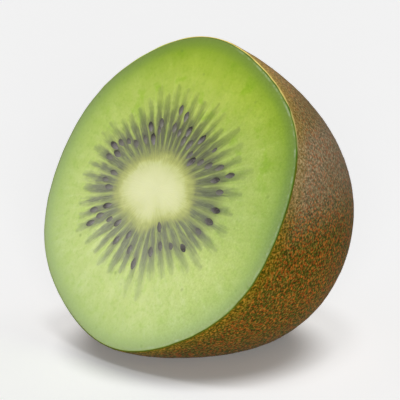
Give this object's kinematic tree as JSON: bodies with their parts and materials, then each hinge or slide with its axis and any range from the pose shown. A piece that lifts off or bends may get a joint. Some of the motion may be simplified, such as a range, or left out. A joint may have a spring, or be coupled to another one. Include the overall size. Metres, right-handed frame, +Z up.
{
  "type": "kiwi fruit half",
  "caption": "Half of a green kiwi fruit cut across the middle, lying on its side with the cut face turned a little upwards.",
  "frame": {"origin": "under the middle of the half, on the surface that it rests on", "axes": "+Z up; the cut face looks towards -Y and 27.2 degrees upwards; the stem end points towards +Y and down; X runs across the fruit"},
  "size_m": [0.0506, 0.0446, 0.0479],
  "materials": {
    "skin": "matte, finely speckled and downy",
    "flesh": "moist, slightly translucent",
    "seeds": "smooth, dark, with a moist gloss"
  },
  "bodies": {
    "root": {"kiwi_half": "skin"}
  },
  "joints": []
}
